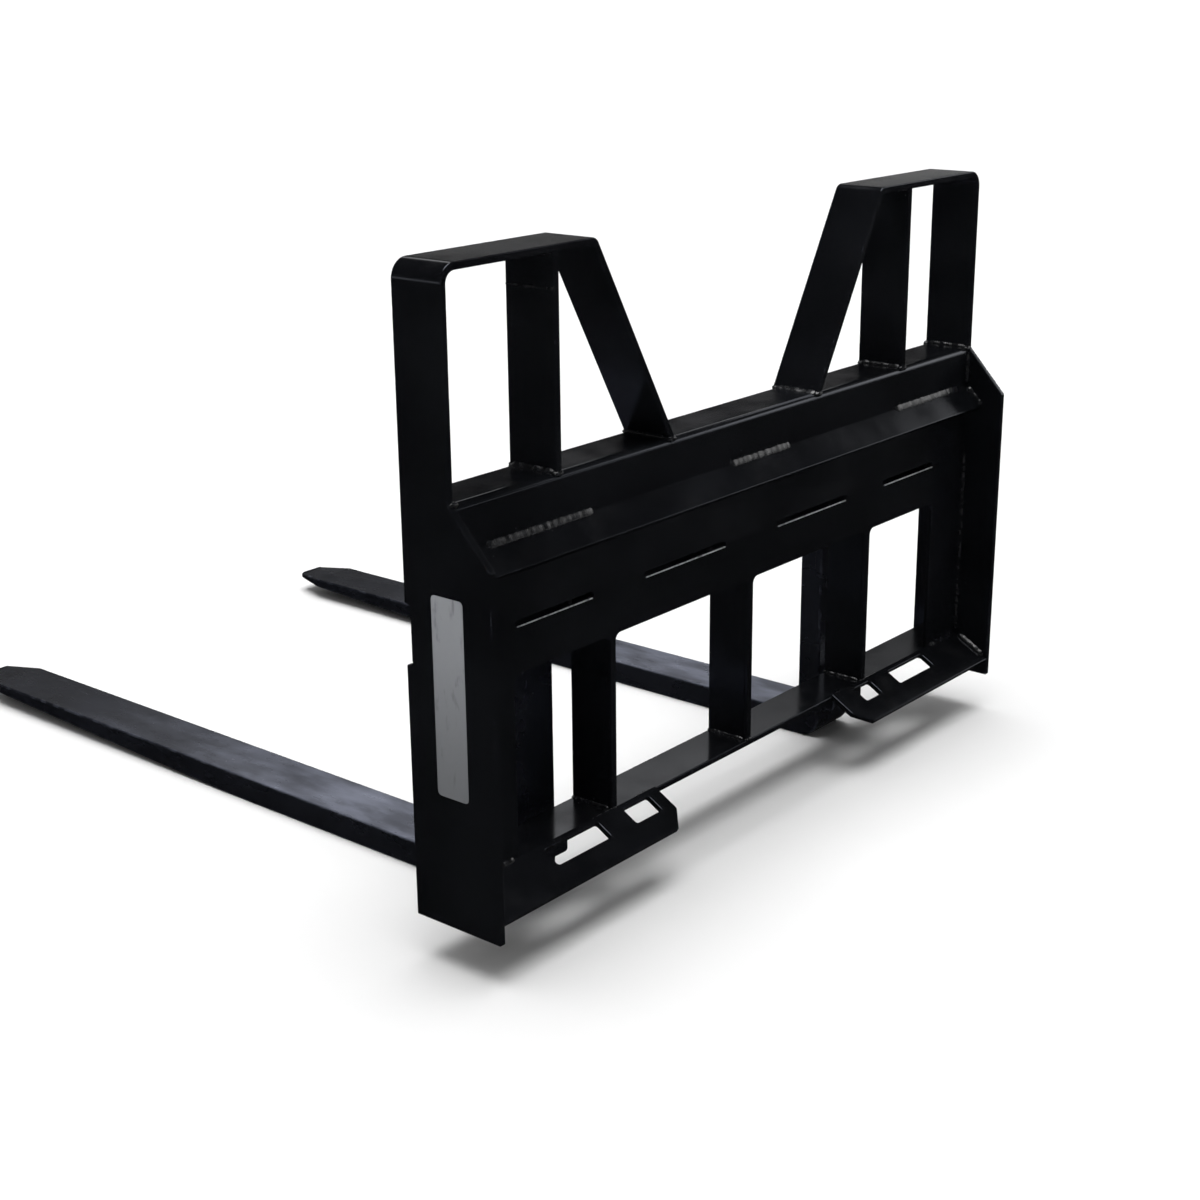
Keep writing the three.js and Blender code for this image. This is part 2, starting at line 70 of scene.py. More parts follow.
def high(node):
    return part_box(node)[1]


TUBE_LOW, TUBE_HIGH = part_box("top_tube")
LIP_LOW, LIP_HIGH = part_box("coupler_lip")
FACE_LOW, FACE_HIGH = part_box("face_plate")
RAIL_LOW, RAIL_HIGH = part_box("bottom_rail")
BAR = high("guard_post_left").x - low("guard_post_left").x
PLATE = high("side_plate_left").x - low("side_plate_left").x
INNER_X = high("side_plate_right").x - PLATE  # inner face of a side plate
UPRIGHTS = ("upright_left", "upright_centre", "upright_right")
FRAME_SLOT = "frame_paint"
FORK_SLOT = "fork_paint"
LATCH_SLOT = "plated_steel"


# ---- Settings ----

class PALLETFORK_PG_steel(bpy.types.PropertyGroup):
    """Sizes of the worked steel."""

    plate_edge: FloatProperty(
        name="Plate edge", description="Rounding of the edges of plates and bars",
        default=1.5 * MM, min=0.1 * MM, max=3 * MM, unit="LENGTH", precision=5)
    fork_edge: FloatProperty(
        name="Fork edge", description="Rounding of the forged edges of the forks",
        default=3.2 * MM, min=0.5 * MM, max=6 * MM, unit="LENGTH", precision=5)
    hook_edge: FloatProperty(
        name="Hook edge", description="Rounding of the edges of the fork hooks",
        default=2.2 * MM, min=0.5 * MM, max=5 * MM, unit="LENGTH", precision=5)
    latch_edge: FloatProperty(
        name="Latch edge", description="Rounding of the edges of the latch pieces",
        default=0.6 * MM, min=0.1 * MM, max=1.2 * MM, unit="LENGTH", precision=5)
    slit_height: FloatProperty(
        name="Slit height", description="Lower lip of the slits above the foot of the fork rail",
        default=33.6 * MM, min=0, max=60 * MM, unit="LENGTH", precision=4)
    # painted highlight: radius of the bright rods along the slits
    highlight_rod: FloatProperty(
        name="Burr", description="Thickness of the burr along the slits",
        default=0.8 * MM, min=0.2 * MM, max=2 * MM, unit="LENGTH", precision=5)
    edge_steps: IntProperty(
        name="Edge steps", description="Faces across each rounded edge", default=3, min=1, max=6)


class PALLETFORK_PG_paint(bpy.types.PropertyGroup):
    """Colours and gloss of the finishes."""

    frame_colour: FloatVectorProperty(
        name="Frame paint", description="Colour of the gloss paint on the frame",
        subtype="COLOR", size=3, default=(0.0038, 0.0041, 0.0050), min=0, max=1)
    fork_colour: FloatVectorProperty(
        name="Fork paint", description="Colour of the worn paint on the forks",
        subtype="COLOR", size=3, default=(0.0055, 0.006, 0.0085), min=0, max=1)
    dust_colour: FloatVectorProperty(
        name="Dust", description="Colour of the dust that lies on upward faces",
        subtype="COLOR", size=3, default=(0.11, 0.105, 0.10), min=0, max=1)
    worn_colour: FloatVectorProperty(
        name="Worn edge", description="Colour where the paint has rubbed thin",
        subtype="COLOR", size=3, default=(0.055, 0.059, 0.075), min=0, max=1)
    rust_colour: FloatVectorProperty(
        name="Rust", description="Colour of the rust specks",
        subtype="COLOR", size=3, default=(0.020, 0.010, 0.006), min=0, max=1)
    zinc_colour: FloatVectorProperty(
        name="Zinc", description="Colour of the plated latch pieces",
        subtype="COLOR", size=3, default=(0.55, 0.56, 0.58), min=0, max=1)
    label_colour: FloatVectorProperty(
        name="Label", description="Colour of the plain label",
        subtype="COLOR", size=3, default=(0.30, 0.31, 0.33), min=0, max=1)


class PALLETFORK_PG_welds(bpy.types.PropertyGroup):
    """Sizes of the weld beads."""

    leg: FloatProperty(
        name="Leg", description="Usual width of a fillet weld on each of its two plates",
        default=4.6 * MM, min=2 * MM, max=12 * MM, unit="LENGTH", precision=4)
    heavy_leg: FloatProperty(
        name="Heavy leg", description="Width of the welds that carry the coupler's load",
        default=6.5 * MM, min=3 * MM, max=14 * MM, unit="LENGTH", precision=4)
    ripple: FloatProperty(
        name="Ripple spacing", description="Distance between the ripples of a bead",
        default=3.4 * MM, min=1.5 * MM, max=9 * MM, unit="LENGTH", precision=4)
    guard_lean: FloatProperty(
        name="Guard lean", description="Angle between a guard's slanting leg and the vertical",
        default=math.radians(29.5), min=0, max=math.radians(60), unit="ROTATION")
    bracket_slope: FloatProperty(
        name="Bracket slope", description="Fall of the latch brackets towards the machine",
        default=math.radians(30), min=0, max=math.radians(60), unit="ROTATION")
    splice: FloatProperty(
        name="Splice",
        description="Height of the butt weld in the left guard's post above its foot",
        default=219 * MM, min=20 * MM, max=250 * MM, unit="LENGTH")
    spatter: IntProperty(
        name="Spatter", description="Beads of spatter along each metre of weld",
        default=45, min=0, max=200)


class PALLETFORK_PG_label(bpy.types.PropertyGroup):
    """Size of the plain label on the left side plate."""

    width: FloatProperty(
        name="Width", description="Size of the label along the plate",
        default=50 * MM, min=10 * MM, max=120 * MM, unit="LENGTH")
    height: FloatProperty(
        name="Height", description="Size of the label up the plate",
        default=250 * MM, min=20 * MM, max=400 * MM, unit="LENGTH")
    centre: FloatProperty(
        name="Centre height", description="Middle of the label above the plate's lower end",
        default=297 * MM, min=0, max=500 * MM, unit="LENGTH")
    thickness: FloatProperty(
        name="Thickness", description="Thickness of the label film",
        default=0.1 * MM, min=0.05 * MM, max=1 * MM, unit="LENGTH", precision=6)


class PALLETFORK_PG_stage(bpy.types.PropertyGroup):
    """Camera and light."""

    camera_place: FloatVectorProperty(
        name="Camera", description="Place of the camera", subtype="TRANSLATION", size=3,
        default=(-2.082, -2.0788, 1.167))
    camera_heading: FloatProperty(
        name="Heading", description="Camera heading from +X towards +Y",
        default=math.radians(39.76), unit="ROTATION")
    camera_pitch: FloatProperty(
        name="Pitch", description="Camera angle below the horizon",
        default=math.radians(18.34), unit="ROTATION")
    camera_roll: FloatProperty(
        name="Roll", description="Camera turn about its own view line",
        default=math.radians(0.54), unit="ROTATION")
    lens: FloatProperty(
        name="Lens", description="Focal length on a 36 mm sensor", default=57.87, min=20, max=200)
    floor_colour: FloatVectorProperty(
        name="Floor", description="Colour of the floor", subtype="COLOR", size=3,
        default=(0.86, 0.86, 0.86), min=0, max=1)
    overhead_light: FloatProperty(
        name="Overhead light", description="Strength of the light from overhead",
        default=1.0, min=0)
    overhead_width: FloatProperty(
        name="Overhead width", description="Angle that the overhead light spans",
        default=math.radians(130), min=0, max=math.radians(170), unit="ROTATION")
    side_light: FloatProperty(
        name="Side light", description="Power of the low softbox beside the coupler", default=30,
        min=0)
    wall_heading: FloatProperty(
        name="Wall heading", description="Direction of the lit wall from +X towards +Y",
        default=math.radians(50), unit="ROTATION")


GROUPS = {
    "pallet_fork_steel": PALLETFORK_PG_steel,
    "pallet_fork_paint": PALLETFORK_PG_paint,
    "pallet_fork_welds": PALLETFORK_PG_welds,
    "pallet_fork_label": PALLETFORK_PG_label,
    "pallet_fork_stage": PALLETFORK_PG_stage,
}


# ---- Material building ----

class Shader:
    """A principled material and short calls for the nodes that feed it."""

    def __init__(self, name):
        self.material = bpy.data.materials.new(name)
        self.material.use_nodes = True
        self.tree = self.material.node_tree
        self.tree.nodes.clear()
        output = self.tree.nodes.new("ShaderNodeOutputMaterial")
        self.surface = self.tree.nodes.new("ShaderNodeBsdfPrincipled")
        self.tree.links.new(self.surface.outputs["BSDF"], output.inputs["Surface"])
        self.place = self.tree.nodes.new("ShaderNodeTexCoord").outputs["Object"]

    def constants(self, **values):
        """Sets sockets of the surface that are the same all over it."""
        for name, value in values.items():
            self.surface.inputs[name.replace("_", " ")].default_value = value

    def feed(self, name, value):
        self.tree.links.new(value, self.surface.inputs[name])

    def node(self, kind, inputs=(), **settings):
        made = self.tree.nodes.new(kind)
        for key, value in settings.items():
            setattr(made, key, value)
        for key, value in dict(inputs).items():
            if isinstance(value, bpy.types.NodeSocket):
                self.tree.links.new(value, made.inputs[key])
            else:
                made.inputs[key].default_value = value
        return made

    def grain(self, scale, detail=3, stretch=(1, 1, 1), rough=0.55):
        """Noise of that many features a metre, drawn out along an axis by a small stretch value."""
        mapped = self.node("ShaderNodeMapping", {"Vector": self.place, "Scale": stretch})
        made = self.node("ShaderNodeTexNoise", {
            "Vector": mapped.outputs["Vector"], "Scale": scale, "Detail": detail,
            "Roughness": rough})
        return made.outputs["Fac"]

    def cells(self, scale):
        made = self.node("ShaderNodeTexVoronoi", {"Vector": self.place, "Scale": scale})
        return made.outputs["Distance"]

    def fit(self, value, from_low, from_high, to_low=0.0, to_high=1.0):
        made = self.node("ShaderNodeMapRange", {
            "Value": value, "From Min": from_low, "From Max": from_high,
            "To Min": to_low, "To Max": to_high}, interpolation_type="SMOOTHSTEP")
        return made.outputs["Result"]

    def times(self, a, b):
        made = self.node("ShaderNodeMath", {0: a, 1: b}, operation="MULTIPLY")
        return made.outputs["Value"]

    def plus(self, a, b):
        made = self.node("ShaderNodeMath", {0: a, 1: b}, operation="ADD", use_clamp=True)
        return made.outputs["Value"]

    def blend(self, share, first, second):
        """Colour first where share is 0 and second where it is 1."""
        made = self.node("ShaderNodeMix", data_type="RGBA")
        for socket, value in zip((made.inputs["Factor"], made.inputs[6], made.inputs[7]),
                                 (share, first, second)):
            if isinstance(value, bpy.types.NodeSocket):
                self.tree.links.new(value, socket)
            else:
                socket.default_value = value
        return made.outputs[2]

    def facing_up(self):
        """1 on level upward faces and 0 on upright or lower ones."""
        normal = self.node("ShaderNodeNewGeometry").outputs["Normal"]
        split = self.node("ShaderNodeSeparateXYZ", {"Vector": normal})
        return self.fit(split.outputs["Z"], 0.35, 0.95)

    def along(self, axis, start, end):
        """0 at start and 1 at end, measured in metres along one axis of the part."""
        split = self.node("ShaderNodeSeparateXYZ", {"Vector": self.place})
        return self.fit(split.outputs[axis], start, end)

    def edges(self):
        """1 on rounded edges, which carry the edge_face mark."""
        return self.node("ShaderNodeAttribute", attribute_name="edge_face").outputs["Fac"]

    def bump(self, height, distance, strength, under=None):
        inputs = {"Height": height, "Distance": distance, "Strength": strength}
        if under is not None:
            inputs["Normal"] = under
        return self.node("ShaderNodeBump", inputs).outputs["Normal"]


def opaque(colour, share=1.0):
    return (*(share * c for c in colour), 1.0)


def gloss_black_paint(paint):
    """Sprayed gloss paint over rolled plate: faint mottling, thin dust on top, rubbed edges."""
    made = Shader("gloss_black_paint")
    mottle = made.grain(7, 4)
    base = made.blend(made.fit(mottle, 0.35, 0.7),
                      opaque(paint.frame_colour, 0.8), opaque(paint.frame_colour, 1.35))
    dusty = made.times(made.facing_up(), made.fit(made.grain(26, 5), 0.45, 0.8, 0.0, 0.035))
    base = made.blend(dusty, base, opaque(paint.dust_colour))
    rubbed = made.times(made.edges(), made.fit(made.grain(60, 4), 0.52, 0.7, 0.0, 0.2))
    base = made.blend(rubbed, base, opaque(paint.worn_colour))
    chips = made.times(made.edges(), made.fit(made.grain(150, 2), 0.70, 0.74))
    made.feed("Base Color", made.blend(chips, base, opaque(paint.rust_colour)))
    haze = made.fit(made.grain(11, 4), 0.3, 0.75, 0.12, 0.25)
    made.feed("Roughness", made.plus(haze, made.times(dusty, 0.9)))
    peel = made.bump(made.grain(420, 2), 0.12 * MM, 0.25)
    wavy = made.bump(made.grain(14, 2), 1 * MM, 0.05, peel)
    made.feed("Normal", wavy)
    made.constants(Specular_IOR_Level=0.5, Specular_Tint=(0.88, 0.95, 1.12, 1), Metallic=0.0)
    return made.material


def worn_fork_paint(paint):
    """Thin satin paint over forged steel, polished and streaked lengthwise where pallets slide,
    with a painted sheen that lightens the tops towards the heel.
    """
    made = Shader("worn_fork_paint")
    cloud = made.grain(9, 5)
    base = made.blend(made.fit(cloud, 0.3, 0.72),
                      opaque(paint.fork_colour, 0.75), opaque(paint.fork_colour, 1.5))
    top = made.facing_up()
    streaks = made.fit(made.grain(24, 5, (1, 0.35, 1)), 0.3, 0.75, 0.2, 0.9)
    # painted sheen: tops grow lighter and glossier towards the heel, mixed with real lengthwise
    # polish streaks
    heel_painted_sheen = made.along(Y, 0.55, low("fork_left").y)
    polish_and_painted_sheen = made.times(top, made.times(heel_painted_sheen, streaks))
    base = made.blend(polish_and_painted_sheen, base, opaque(paint.worn_colour, 4.2))
    scratch = made.times(top, made.fit(made.grain(340, 2, (1, 0.03, 1)), 0.70, 0.76, 0.0, 0.35))
    base = made.blend(scratch, base, opaque(paint.worn_colour, 2.2))
    rubbed = made.times(made.edges(), made.fit(made.grain(45, 4), 0.42, 0.7, 0.0, 0.3))
    base = made.blend(rubbed, base, opaque(paint.worn_colour, 1.6))
    rust = made.fit(made.grain(120, 3), 0.71, 0.78, 0.0, 0.5)
    made.feed("Base Color", made.blend(rust, base, opaque(paint.rust_colour)))
    haze = made.fit(made.grain(16, 4, (1, 0.4, 1)), 0.3, 0.75, 0.22, 0.36)
    made.feed("Roughness", made.plus(haze, made.times(rust, 0.4)))
    forged = made.bump(made.grain(55, 4), 0.8 * MM, 0.3)
    peel = made.bump(made.grain(500, 2), 0.1 * MM, 0.3, forged)
    made.feed("Normal", peel)
    made.feed("Specular IOR Level", made.plus(0.22, made.times(heel_painted_sheen, 0.4)))
    made.constants(Specular_Tint=(0.87, 0.94, 1.14, 1), Metallic=0.0)
    return made.material


def weld_paint(paint):
    """Gloss paint that has run thin over weld ripples, with spots of bare slag."""
    made = Shader("painted_weld")
    base = made.blend(made.fit(made.grain(90, 3), 0.35, 0.7),
                      opaque(paint.frame_colour, 0.9), opaque(paint.frame_colour, 2.2))
    slag = made.fit(made.grain(210, 3), 0.68, 0.74, 0.0, 0.7)
    made.feed("Base Color", made.blend(slag, base, opaque(paint.worn_colour, 1.2)))
    made.feed("Roughness", made.fit(made.grain(120, 3), 0.3, 0.7, 0.16, 0.34))
    made.feed("Normal", made.bump(made.grain(700, 2), 0.15 * MM, 0.35))
    made.constants(Specular_IOR_Level=0.6, Metallic=0.0)
    return made.material


def zinc_plate(paint):
    """Plated steel with a drawn grain, dulled in patches."""
    made = Shader("zinc_plate")
    drawn = made.grain(900, 3, (1, 1, 0.05))
    patches = made.grain(60, 4)
    base = made.blend(made.fit(patches, 0.35, 0.7),
                      opaque(paint.zinc_colour, 0.75), opaque(paint.zinc_colour))
    rubbed = made.times(made.edges(), made.fit(made.grain(200, 2), 0.45, 0.6))
    made.feed("Base Color", made.blend(rubbed, base, opaque(paint.zinc_colour, 0.4)))
    made.feed("Roughness", made.fit(patches, 0.3, 0.75, 0.26, 0.46))
    made.feed("Normal", made.bump(drawn, 0.05 * MM, 0.35))
    made.constants(Metallic=1.0)
    return made.material


def painted_slit_highlight(paint):
    """Bright bare-steel colour for the rods of painted highlight along the slits, spotted with
    paint.
    """
    made = Shader("painted_slit_highlight")
    spots = made.fit(made.grain(160, 3), 0.5, 0.66, 0.0, 0.8)
    made.feed("Base Color", made.blend(
        spots, opaque(paint.zinc_colour, 1.3), opaque(paint.frame_colour)))
    made.feed("Roughness", made.fit(made.grain(90, 3), 0.3, 0.7, 0.3, 0.5))
    made.feed("Normal", made.bump(made.grain(500, 2), 0.1 * MM, 0.3))
    made.constants(Metallic=0.6)
    return made.material


def label_film(paint):
    """Silver film with a fine beaded texture, scuffed and a little dirty, with painted shade that
    darkens it towards its lower end.
    """
    made = Shader("label_film")
    beads = made.cells(900)
    scuffs = made.fit(made.grain(70, 5, (1, 1, 0.35)), 0.56, 0.72, 0.0, 0.55)
    # painted shade: the film is darker towards its lower end
    painted_shade = made.along(Z, low("side_plate_left").z + 0.17, low("side_plate_left").z + 0.43)
    base = made.blend(painted_shade, opaque(paint.label_colour, 0.62), opaque(paint.label_colour, 1.15))
    made.feed("Base Color", made.blend(scuffs, base, opaque(paint.label_colour, 0.35)))
    made.feed("Roughness", made.fit(made.grain(90, 3), 0.3, 0.7, 0.3, 0.5))
    made.feed("Normal", made.bump(beads, 0.1 * MM, 0.2))
    made.constants(Specular_IOR_Level=0.5, Metallic=0.1)
    return made.material


def floor_paint(settings):
    """Matt floor with the faintest unevenness."""
    made = Shader("studio_floor_paint")
    made.feed("Base Color", made.blend(
        made.fit(made.grain(3, 3), 0.3, 0.7),
        opaque(settings.floor_colour, 0.985), opaque(settings.floor_colour)))
    made.feed("Roughness", made.fit(made.grain(30, 2), 0.3, 0.7, 0.82, 0.92))
    made.constants(Specular_IOR_Level=0.1)
    return made.material


FINISHES = {
    "gloss_black_paint": gloss_black_paint,
    "worn_fork_paint": worn_fork_paint,
    "painted_weld": weld_paint,
    "zinc_plate": zinc_plate,
    "painted_slit_highlight": painted_slit_highlight,
    "label_film": label_film,
}


def finish_named(name):
    """The material of that name, made the first time that a piece asks for it."""
    made = bpy.data.materials.get(name)
    return made or FINISHES[name](bpy.context.scene.pallet_fork_paint)


# ---- Piece building ----

MERGE_DISTANCE = 0.01 * MM
FLAT_ANGLE = math.radians(0.4)  # faces closer than this in angle become one face
ROUNDED_ANGLE = math.radians(24)  # edges sharper than this are rounded
CREASE_ANGLE = math.radians(40)  # edges sharper than this stay creased in the shading


def place_piece(mesh, name, body, finish, stands_for=()):
    """Links a finished mesh, gives it its material and hangs it on its body."""
    piece = bpy.data.objects.new(name, mesh)
    bpy.context.scene.collection.objects.link(piece)
    mesh.materials.clear()
    mesh.materials.append(finish_named(finish))
    even = piece.modifiers.new("even_normals", "WEIGHTED_NORMAL")
    even.keep_sharp = True
    even.weight = 50
    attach(piece, body)
    if stands_for:
        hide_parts(*stands_for)
    return piece


def on_face(vert, axis, sign, corners):
    """Whether a vertex lies on the low or the high side of a node's box along one axis."""
    limit = corners[1][axis] if sign > 0 else corners[0][axis]
    return abs(vert.co[axis] - limit) < 0.02 * MM


def worked_steel(node, edge, steps, welded=(), square=()):
    """A copy of a CAD node in whole faces with rounded edges.
    welded lists the (axis, sign) ends that reach across the weld gap to the next piece, and
    square lists the ends whose edges stay sharp; a welded end is square too."""
    work = bmesh.new()
    work.from_mesh(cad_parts[node].data)
    bmesh.ops.remove_doubles(work, verts=work.verts, dist=MERGE_DISTANCE)
    bmesh.ops.dissolve_limit(
        work, angle_limit=FLAT_ANGLE, verts=work.verts, edges=work.edges,
        use_dissolve_boundaries=False)
    mark = work.faces.layers.float.new("edge_face")
    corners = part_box(node)
    flat_ends = [*welded, *square]
    kept_square = {
        e for e in work.edges for axis, sign in flat_ends
        if all(on_face(v, axis, sign, corners) for v in e.verts)}
    for axis, sign in welded:
        for vert in [v for v in work.verts if on_face(v, axis, sign, corners)]:
            vert.co[axis] += sign * WELD_GAP
    sharp = [e for e in work.edges if e.is_manifold and e.calc_face_angle() > ROUNDED_ANGLE]
    rounded = [e for e in sharp if e not in kept_square]
    made = bmesh.ops.bevel(
        work, geom=rounded, offset=edge, offset_type="OFFSET", segments=steps, profile=0.5,
        affect="EDGES", clamp_overlap=False)
    for face in made["faces"]:
        face[mark] = 1.0
    bmesh.ops.dissolve_degenerate(work, dist=0.005 * MM, edges=work.edges)
    bmesh.ops.recalc_face_normals(work, faces=work.faces)
    for face in work.faces:
        face.smooth = True
    for e in work.edges:
        e.smooth = not (e.is_manifold and e.calc_face_angle() > CREASE_ANGLE)
    mesh = bpy.data.meshes.new(f"{node}_steel")
    work.to_mesh(mesh)
    work.free()
    return mesh


def steel_piece(node, body, edge, welded=(), square=(), finish="gloss_black_paint",
                slot_name=FRAME_SLOT):
    """One CAD node as worked steel: the piece that stands for it."""
    steps = bpy.context.scene.pallet_fork_steel.edge_steps
    mesh = worked_steel(node, edge, steps, welded, square)
    return place_piece(mesh, f"{node}_steel", body, finish, [node])


# ---- Weld beads ----

BEAD_STEP = 1.5 * MM
BEAD_SIDES = 8
BEAD_TAPER = 1.8  # length of a bead's tapered end, in widths of the bead
BEAD_THINNEST = 0.06  # share of the full width that is left at the very end
SINK = 0.25 * MM  # how far a bead's skin runs into the plates that it joins
BRACKET_PLATE_MM = 8  # thickness of a latch bracket, in millimetres
LIP_STITCHES = ((0.060, 0.253), (0.537, 0.680), (0.956, 1.142))  # from the left outer face
BRACKET_TACKS = ((0.235, 0.275), (0.325, 0.358))  # from the side plate's inner face
SLIT_MARGIN = 4 * MM  # length left without the painted highlight rod at each end of a slit


def lay_bead(work, start, end, along_a, along_b, leg_a, leg_b, ripple):
    """Lays one fillet weld from start to end in the corner between two plates.
    along_a and along_b point away from the corner in each plate's surface."""
    start, end = Vector(start), Vector(end)
    a, b = Vector(along_a).normalized(), Vector(along_b).normalized()
    length = (end - start).length
    line = (end - start) / length
    steps = max(6, round(length / BEAD_STEP))
    mean_leg = (leg_a + leg_b) / 2
    rings = []
    for i in range(steps + 1):
        done = length * i / steps
        from_end = max(0.0, min(done, length - done))
        short_of_full = 1 - min(1.0, from_end / (BEAD_TAPER * mean_leg))
        cap = max(math.sqrt(1 - short_of_full ** 2), BEAD_THINNEST)
        here = start + line * done
        wander = noise.noise(here * 110) * 0.2
        ring = [here - (a + b) * SINK * 3]
        for k in range(BEAD_SIDES + 1):
            turn = k / BEAD_SIDES
            crescent = 0.45 * (1 - (2 * turn - 1) ** 2)
            phase = done / ripple + crescent + 0.5 * noise.noise(here * 40 + Vector((7, 0, 0)))
            scale = 1 + wander + 0.13 * abs(math.sin(math.pi * phase)) ** 0.7
            share_a = math.cos(turn * math.pi / 2) ** 1.35
            share_b = math.sin(turn * math.pi / 2) ** 1.35
            point = here + (a * leg_a * share_a + b * leg_b * share_b) * scale * cap
            ring.append(point - (a + b) * SINK)
        rings.append([work.verts.new(p) for p in ring])
    for ring, after in zip(rings, rings[1:]):
        for k in range(len(ring)):
            n = (k + 1) % len(ring)
            work.faces.new((ring[k], ring[n], after[n], after[k]))
    work.faces.new(list(reversed(rings[0])))
    work.faces.new(rings[-1])


def drop_blob(work, centre, size, seed):
    """A lump of weld metal, uneven all round."""
    made = bmesh.ops.create_icosphere(work, subdivisions=3, radius=1.0)
    centre = Vector(centre)
    for vert in made["verts"]:
        direction = vert.co.copy()
        swell = 1 + 0.3 * noise.noise(direction * 2.4 + Vector((seed, 0, 0)))
        vert.co = centre + Vector(d * s for d, s in zip(direction, size)) * swell


def throw_spatter(work, start, end, along_a, along_b, reach, count, rng):
    """Small beads of spatter on the two plates, close beside a weld."""
    start, end = Vector(start), Vector(end)
    for _ in range(count):
        away = Vector(rng.choice((along_a, along_b))).normalized()
        radius = rng.uniform(0.35, 0.9) * MM
        distance = reach + min(abs(rng.gauss(0, 5)), 13) * MM
        centre = start.lerp(end, rng.random()) + away * distance
        made = bmesh.ops.create_icosphere(work, subdivisions=1, radius=radius)
        for vert in made["verts"]:
            vert.co += centre


def weld_piece(name, body, beads, blobs=(), spatter=True):
    """One piece made of every bead and blob in a group of welds."""
    settings = bpy.context.scene.pallet_fork_welds
    rng = random.Random(name)
    work = bmesh.new()
    for bead in beads:
        start, end, along_a, along_b, leg_a, leg_b = bead
        lay_bead(work, start, end, along_a, along_b, leg_a, leg_b, settings.ripple)
        count = round((Vector(end) - Vector(start)).length * settings.spatter) if spatter else 0
        throw_spatter(work, start, end, along_a, along_b, max(leg_a, leg_b), count, rng)
    for centre, size in blobs:
        drop_blob(work, centre, size, rng.uniform(0, 50))
    bmesh.ops.recalc_face_normals(work, faces=work.faces)
    for face in work.faces:
        face.smooth = True
    mesh = bpy.data.meshes.new(name)
    work.to_mesh(mesh)
    work.free()
    return place_piece(mesh, name, body, "painted_weld")


def guard_welds(side, settings):
    """Feet and head of one guard on the top tube, and the splice in the left guard's post."""
    sign = SIDES[side]
    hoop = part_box(f"guard_hoop_{side}")
    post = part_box(f"guard_post_{side}")
    outer_x = hoop[0].x if sign < 0 else hoop[1].x
    slant_x = hoop[1].x if sign < 0 else hoop[0].x
    lean = settings.guard_lean
    up = Vector((sign * math.sin(lean), 0, math.cos(lean)))
    inward = Vector((-sign, 0, 0))
    above = Vector((0, 0, 1))
    rear, front, top = TUBE_LOW.y + 3 * MM, TUBE_HIGH.y - 3 * MM, TUBE_HIGH.z
    under_hoop = post[1].z + WELD_GAP
    leg = settings.leg
    across = BAR / math.cos(lean)
    beads = []

    def along_foot(x, direction, upward, size=leg):
        beads.append(((x, rear, top), (x, front, top), direction, upward, size, size))

    along_foot(outer_x - sign * BAR, inward, above)
    along_foot(slant_x, inward, up)
    along_foot(slant_x + sign * across, -inward, up, leg * 0.8)
    for x, way in ((post[0].x, Vector((-1, 0, 0))), (post[1].x, Vector((1, 0, 0)))):
        along_foot(x, way, above)
        beads.append(((x, rear, under_hoop), (x, front, under_hoop),
                      way, -above, leg * 0.8, leg * 0.8))
    blobs = []
    lump = Vector((0.9 * BAR, 5.4 * MM, 4.4 * MM))
    for x in (outer_x - sign * BAR, (post[0].x + post[1].x) / 2, slant_x + sign * across / 2):
        for y in (rear, front):
            blobs.append(((x, y, top - 1.2 * MM), lump))
    if side == "left":
        blobs += splice_line(post, settings)
    return beads, blobs


def splice_line(post, settings):
    """The ground line of a butt weld across a post's outer face, with a lump at its rear end."""
    height = post[0].z + settings.splice
    middle = (post[0].y + post[1].y) / 2
    half = (post[1].y - post[0].y) / 2
    return [
        ((post[0].x, middle, height), Vector((0.8 * MM, half - 1 * MM, 1.3 * MM))),
        ((post[0].x + 1 * MM, post[0].y + 2 * MM, height), Vector((2.4, 2.6, 2.6)) * MM),
    ]


def lip_welds(settings):
    """Stitches along the tube and the heavy beads at the side plates."""
    left_end = low("side_plate_left").x
    slope = Vector((0, -1, -1)).normalized()
    above_slope = Vector((0, -1, 1)).normalized()
    line_y, line_z = TUBE_LOW.y, LIP_HIGH.z + WELD_GAP
    beads = []
    for first, last in LIP_STITCHES:
        beads.append(((left_end + first, line_y, line_z), (left_end + last, line_y, line_z),
                      (0, 0, 1), slope, settings.leg, settings.leg * 1.15))
    width = (LIP_HIGH.z - LIP_LOW.z - 7 * MM) * math.sqrt(2)
    root = Vector((0, line_y, line_z))
    for sign in SIDES.values():
        corner = Vector((sign * INNER_X, 0, 0))
        beads.append((corner + root + slope * 2 * MM, corner + root + slope * width,
                      (-sign, 0, 0), above_slope, settings.leg, settings.leg))
        beads.append((corner + Vector((0, line_y, line_z + 4 * MM)),
                      corner + Vector((0, line_y, TUBE_HIGH.z - 7 * MM)),
                      (-sign, 0, 0), (0, -1, 0), settings.leg * 0.7, settings.leg * 0.7))
    return beads


